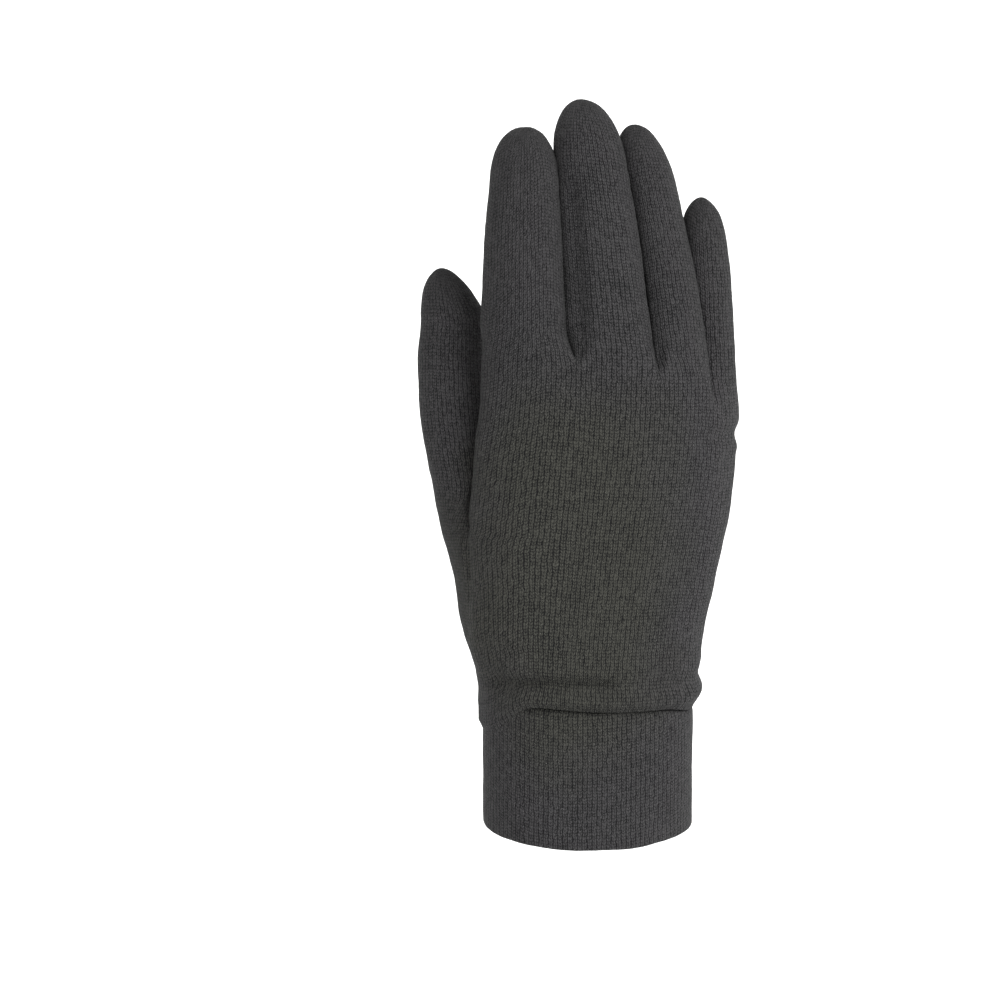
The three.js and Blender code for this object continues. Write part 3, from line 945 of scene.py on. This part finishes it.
def shape_cloth(cloth, folds, unevenness):
    """Points and normals of a cloth, and how far each point moves out by the folds and by slow noise."""
    points = np.array(cloth.points)
    normals = np.zeros_like(points)
    for face in cloth.faces:
        a, b, c = points[face[0]], points[face[1]], points[face[2]]
        normal = np.cross(b - a, c - a) if len(face) == 3 else np.cross(c - a, points[face[3]] - b)
        for corner_index in face:
            normals[corner_index] += normal
    normals /= np.maximum(np.linalg.norm(normals, axis=1), 1e-9)[:, None]
    height = np.array([sum(share * noise.noise(Vector(point / size)) for size, share in UNEVEN)
                       for point in points]) * unevenness
    from_overlap = np.abs(points[:, 2] - SEAM_Z + OVERLAP_BELOW)
    overlap = over_cuff(points[:, 0]) * (1 - fade(from_overlap, *OVERLAP_FADE))
    height = height * (1 - overlap) + (CLOTH_OUT if folds else CUFF_OUT)
    if folds:
        height += fold_height(points[:, 0], points[:, 2] - SEAM_Z, normals[:, 1])
        height += seam_edge_height(points[:, 0], points[:, 1], points[:, 2] - SEAM_Z)
    return points, normals, height


hand_points, hand_normals, hand_height = shape_cloth(hand, True, HAND_UNEVEN)
thumb_points, thumb_normals, thumb_height = shape_cloth(thumb, True, HAND_UNEVEN)
cuff_points, cuff_normals, cuff_height = shape_cloth(cuff, False, CUFF_UNEVEN)
shared = hand_normals[thumb_base] + thumb_normals[thumb_first]
shared /= np.linalg.norm(shared, axis=1)[:, None]
hand_normals[thumb_base] = thumb_normals[thumb_first] = shared
thumb_height[thumb_first] = hand_height[thumb_base]
hand_points += hand_normals * hand_height[:, None]
thumb_points += thumb_normals * thumb_height[:, None]
cuff_points += cuff_normals * cuff_height[:, None]
print("highest fold", round(float(hand_height.max()), 2), "mm")

# %% [markdown]
# The colours were read from the photo and are written as screen values. The shader wants linear
# light, so one function turns them.

# %% Colours and nodes
# GAP is painted shade: the knit's colour falls towards it in the gaps between stitches, where the light can't
# reach.
YARN, OLIVE_YARN, GAP, LOOSE_FIBRES = "3a393a", "3b3b36", "050507", "8c8c8a"
PAPER = "f6f6f6"


def linear(code):
    """A screen colour, written as six hex digits, as linear light."""
    values = [int(code[i:i + 2], 16) / 255 for i in (0, 2, 4)]
    turned = [v / 12.92 if v <= 0.04045 else ((v + 0.055) / 1.055) ** 2.4 for v in values]
    return (*turned, 1.0)


def add_node(tree, kind, settings=None, **links):
    """Add a node. settings are its properties; links are its inputs, as sockets or constants."""
    node = tree.nodes.new(kind)
    for name, value in (settings or {}).items():
        setattr(node, name, value)
    for name, value in links.items():
        key = int(name[1:]) if name[0] == "i" and name[1:].isdigit() else name.replace("_", " ")
        socket = node.inputs[key]
        if isinstance(value, bpy.types.NodeSocket):
            tree.links.new(value, socket)
        else:
            socket.default_value = value
    return node


def maths(tree, operation, *values):
    """A maths node's output; values are sockets or numbers."""
    inputs = {f"i{i}": value for i, value in enumerate(values)}
    return add_node(tree, "ShaderNodeMath", {"operation": operation}, **inputs).outputs[0]


print("charcoal yarn", [round(v, 3) for v in linear(YARN)])

# %% [markdown]
# Plain knit shows its face as columns of small Vs. Each V is one stitch: two legs of yarn that come up from
# the middle of the wale and lean outwards. The height of the cloth is worked out from the place within the
# stitch, and the same height darkens the gaps, where the light can't reach. Real stitches as geometry would
# be many millions of faces, and at this distance each leg is little more than two pixels wide.

# %% Charcoal knit
# Spun synthetic yarn in charcoal, knitted fine. It is rough and nearly without shine, and its loose fibres
# catch a faint pale light along the edges. In the middle of the back the yarn is a little more olive.
ROUGHNESS, SPECULAR = 0.92, 0.2
SHEEN, SHEEN_ROUGHNESS = 0.12, 0.6
LEG_SLOPE = 0.5
LEG_POWER, LEG_SHARE, BODY_SHARE = 0.8, 0.74, 0.92
# The gap between two wales and the one between the two legs of a stitch: from the middle of the wale, at 0,
# to its edge, at 1
WALE_GAP, MIDDLE_GAP, MIDDLE_GAP_DEPTH = (0.5, 1.0), (0.38, 0.0), 0.55
STITCH_DEPTH = 0.42
BUMP_STRENGTH, BUMP_FUZZ = 0.8, 0.35
# Noises, as cells to a millimetre: the yarn's wander, its fuzz, lint, slow clouds and the olive's edge
WANDER_PER_MM, FUZZ_PER_MM, LINT_PER_MM, CLOUD_PER_MM, OLIVE_PER_MM = 0.42, 2.9, 1.7, 0.06, 0.03
WANDER, LINT = 0.75, (0.63, 0.72)
# How much each of these says of the tone between gap and yarn
TONE = dict(stitch=1.17, chance=0.55, fuzz=1.9, cloud=0.30, lint=0.60, shift=-0.04)
# Centre and half sizes of the olive area in metres, and the distances in half sizes where it is gone and full
OLIVE_CENTRE, OLIVE_SIZE, OLIVE_EDGE = (-0.008, 0.0, 0.095), (0.036, 1.0, 0.060), (1.9, 1.1)


def knit_material(name):
    """Colour, tone and relief of plain knit, worked out from the place within each stitch."""
    material = bpy.data.materials.new(name)
    material.use_nodes = True
    tree = material.node_tree
    tree.nodes.clear()

    def noise_at(per_mm, detail):
        return add_node(tree, "ShaderNodeTexNoise", Vector=where, Scale=per_mm / MM,
                        Detail=detail).outputs["Fac"]

    def ramp(value, low, high):
        return add_node(tree, "ShaderNodeMapRange", {"interpolation_type": "SMOOTHSTEP"}, Value=value,
                        From_Min=low, From_Max=high).outputs[0]

    def times(value, factor):
        return maths(tree, "MULTIPLY", value, factor)

    def either_way(value):
        return plus(value, -0.5)

    def plus(*values):
        total = values[0]
        for value in values[1:]:
            total = maths(tree, "ADD", total, value)
        return total

    place = add_node(tree, "ShaderNodeUVMap", {"uv_map": "knit"}).outputs[0]
    where = add_node(tree, "ShaderNodeTexCoord").outputs["Object"]
    wander = times(either_way(noise_at(WANDER_PER_MM, 2.0)), WANDER)
    split = add_node(tree, "ShaderNodeSeparateXYZ", Vector=place)
    wale = plus(split.outputs["X"], wander)
    across = either_way(maths(tree, "FRACT", wale))
    side = times(maths(tree, "ABSOLUTE", across), 2.0)
    climb = plus(split.outputs["Y"], times(side, -LEG_SLOPE), wander)
    along = maths(tree, "FRACT", climb)
    leg = maths(tree, "POWER", maths(tree, "SINE", times(along, math.pi)), LEG_POWER)
    middle_gap = times(ramp(side, *MIDDLE_GAP), MIDDLE_GAP_DEPTH)
    body = maths(tree, "SUBTRACT", 1.0, plus(ramp(side, *WALE_GAP), middle_gap))
    height = times(plus(times(leg, LEG_SHARE), 1 - LEG_SHARE), plus(times(body, BODY_SHARE), 1 - BODY_SHARE))
    stitch = add_node(tree, "ShaderNodeCombineXYZ", X=maths(tree, "FLOOR", wale),
                      Y=maths(tree, "FLOOR", climb), Z=maths(tree, "GREATER_THAN", across, 0.0))
    chance = add_node(tree, "ShaderNodeTexWhiteNoise", {"noise_dimensions": "3D"},
                      Vector=stitch.outputs[0]).outputs["Value"]
    fuzz = noise_at(FUZZ_PER_MM, 3.0)
    lint = ramp(noise_at(LINT_PER_MM, 4.0), *LINT)
    cloud = noise_at(CLOUD_PER_MM, 2.0)
    # The stitch height's share of the tone is painted shade: the gaps between legs and wales go dark towards
    # GAP.
    tone = plus(times(height, TONE["stitch"]), times(either_way(chance), TONE["chance"]),
                times(either_way(fuzz), TONE["fuzz"]), times(either_way(cloud), TONE["cloud"]),
                times(lint, TONE["lint"]), TONE["shift"])
    colour = add_node(tree, "ShaderNodeMix", {"data_type": "RGBA", "clamp_factor": True})
    tree.links.new(tone, colour.inputs[0])
    colour.inputs[6].default_value = linear(GAP)
    tint = add_node(tree, "ShaderNodeMix", {"data_type": "RGBA"})
    spot = add_node(tree, "ShaderNodeMapping", {"vector_type": "TEXTURE"}, Vector=where,
                    Location=OLIVE_CENTRE, Scale=OLIVE_SIZE)
    reach = add_node(tree, "ShaderNodeVectorMath", {"operation": "LENGTH"}, Vector=spot.outputs[0])
    olive_reach = plus(reach.outputs["Value"], noise_at(OLIVE_PER_MM, 2.0))
    tree.links.new(ramp(olive_reach, *OLIVE_EDGE), tint.inputs[0])
    tint.inputs[6].default_value = linear(YARN)
    tint.inputs[7].default_value = linear(OLIVE_YARN)
    tree.links.new(tint.outputs[2], colour.inputs[7])
    relief = plus(height, times(fuzz, BUMP_FUZZ))
    bump = add_node(tree, "ShaderNodeBump", Strength=BUMP_STRENGTH, Distance=STITCH_DEPTH * MM, Height=relief)
    cloth = add_node(tree, "ShaderNodeBsdfPrincipled", Base_Color=colour.outputs[2], Roughness=ROUGHNESS,
                     Normal=bump.outputs[0], Specular_IOR_Level=SPECULAR, Sheen_Weight=SHEEN,
                     Sheen_Roughness=SHEEN_ROUGHNESS, Sheen_Tint=linear(LOOSE_FIBRES))
    add_node(tree, "ShaderNodeOutputMaterial", Surface=cloth.outputs[0])
    return material


charcoal_knit = knit_material("charcoal fine knit")
print("nodes in the knit", len(charcoal_knit.node_tree.nodes))

# %% [markdown]
# Each piece becomes a closed wall of cloth, with its thickness inside the shape built so far. A Solidify
# modifier gives it, because it keeps the rows and columns. Where the hand's edge hangs over the cuff, the
# wall thins out to its edge, so that it lies flat.

# %% A wall of cloth
KNIT_WALL = 1.2
CUFF_CLOTH = 1.1
# Share of the wall left at the hand's lowest row and at the next one
HEM_WALL = (0.03, 0.35)
SHARP = math.radians(55)


def thin_hem():
    """Vertices of the hand's two lowest rows, each with its share of the wall."""
    return [(int(i), 1 - (1 - share) * float(over_cuff(hand_points[i, 0])))
            for hem_row, share in zip(hem_rows, HEM_WALL) for i in hem_row]


def make_piece(name, cloth, points, wall, thin=()):
    """A piece with its stitches' UV map, its wall and the knit."""
    mesh = bpy.data.meshes.new(name)
    mesh.from_pydata((points * MM).tolist(), [], cloth.faces)
    uv = mesh.uv_layers.new(name="knit")
    spots = []
    for face, wales in zip(cloth.faces, cloth.wales):
        for corner_index, wale in zip(face, wales):
            spots.extend((wale, cloth.courses[corner_index]))
    uv.data.foreach_set("uv", spots)
    mesh.polygons.foreach_set("use_smooth", [True] * len(mesh.polygons))
    mesh.materials.append(charcoal_knit)
    skin = bpy.data.objects.new(name, mesh)
    bpy.context.collection.objects.link(skin)
    thick = skin.modifiers.new("wall", "SOLIDIFY")
    thick.thickness = wall * MM
    thick.offset = -1
    if thin:
        group = skin.vertex_groups.new(name="wall")
        group.add(range(len(points)), 1.0, "REPLACE")
        for i, share in thin:
            group.add([i], share, "REPLACE")
        thick.vertex_group = group.name
    solid = bpy.data.meshes.new_from_object(skin.evaluated_get(bpy.context.evaluated_depsgraph_get()))
    skin.modifiers.clear()
    skin.data = solid
    solid.name = name
    solid.set_sharp_from_angle(angle=SHARP)
    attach(skin, "root")
    return skin


print("hem thinned at", len(thin_hem()), "vertices")

# %% Make the pieces
for name, cloth, points, wall in (("knit_hand", hand, hand_points, KNIT_WALL),
                                  ("knit_thumb", thumb, thumb_points, KNIT_WALL),
                                  ("knit_cuff", cuff, cuff_points, CUFF_CLOTH)):
    make_piece(name, cloth, points, wall, thin_hem() if cloth is hand else ())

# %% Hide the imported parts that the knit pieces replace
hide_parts("hand_shell")
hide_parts("thumb")
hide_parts("cuff")

# %% [markdown]
# The glove stands free on plain white. A sweep of white paper far below and behind it gives that, with no
# line where the floor ends. One wide light comes from the right and above, and a weaker one from the left.

# %% White paper sweep
# In metres: y where the paper starts, y and radius of its curve, its top and its half width
FLOOR_Z = -0.45
PAPER_FRONT, CURVE_Y, CURVE_RADIUS, PAPER_TOP, PAPER_HALF_WIDTH = -6.0, 1.2, 0.8, 3.0, 3.0
CURVE_ANGLES = np.linspace(0.1, math.pi / 2, 12)
sweep = [(PAPER_FRONT, 0.0), (CURVE_Y, 0.0)]
sweep += [(CURVE_Y + CURVE_RADIUS * math.sin(t), CURVE_RADIUS - CURVE_RADIUS * math.cos(t))
          for t in CURVE_ANGLES]
sweep += [(CURVE_Y + CURVE_RADIUS, PAPER_TOP)]
corners = [(x, y, FLOOR_Z + rise) for y, rise in sweep for x in (-PAPER_HALF_WIDTH, PAPER_HALF_WIDTH)]
strips = [(2 * i, 2 * i + 1, 2 * i + 3, 2 * i + 2) for i in range(len(sweep) - 1)]
floor_mesh = bpy.data.meshes.new("floor")
floor_mesh.from_pydata(corners, [], strips)
floor_mesh.polygons.foreach_set("use_smooth", [True] * len(floor_mesh.polygons))
paper = bpy.data.materials.new("white paper")
paper.use_nodes = True
paper.node_tree.nodes["Principled BSDF"].inputs["Base Color"].default_value = linear(PAPER)
paper.node_tree.nodes["Principled BSDF"].inputs["Roughness"].default_value = 0.9
floor_mesh.materials.append(paper)
floor = bpy.data.objects.new("floor", floor_mesh)
bpy.context.collection.objects.link(floor)
print("paper", len(strips), "strips,", FLOOR_Z, "m")

# %% Studio light
world = bpy.data.worlds.new("studio")
world.use_nodes = True
world.node_tree.nodes["Background"].inputs["Color"].default_value = (1, 1, 1, 1)
world.node_tree.nodes["Background"].inputs["Strength"].default_value = 0.36
bpy.context.scene.world = world


def soft_sun(name, source, strength, spread):
    """A wide, far light that comes from the direction of source."""
    light = bpy.data.lights.new(name, "SUN")
    light.energy, light.angle = strength, math.radians(spread)
    lamp = bpy.data.objects.new(name, light)
    lamp.rotation_euler = (-Vector(source)).to_track_quat("-Z", "Y").to_euler()
    bpy.context.collection.objects.link(lamp)


soft_sun("key", (0.85, -0.72, 0.80), 4.1, 50)
soft_sun("fill", (-0.6, -0.9, 0.4), 1.3, 70)
print("lights", [lamp.name for lamp in bpy.data.lights])

# %% Camera
CAMERA_DISTANCE, CAMERA_RISE = 0.9443, math.radians(9.5)
camera_data = bpy.data.cameras.new("camera")
camera_data.sensor_width, camera_data.lens = 36, 102
camera_data.clip_start, camera_data.clip_end = 0.05, 20
camera = bpy.data.objects.new("camera", camera_data)
bpy.context.collection.objects.link(camera)
target = Vector((-0.02964, 0, 0.1143))
toward = Vector((0, math.cos(CAMERA_RISE), -math.sin(CAMERA_RISE)))
camera.location = target - toward * CAMERA_DISTANCE
camera.rotation_euler = toward.to_track_quat("-Z", "Y").to_euler()
bpy.context.scene.camera = camera
bpy.context.scene.view_settings.view_transform = "Standard"
print("camera at", [round(value, 3) for value in camera.location])
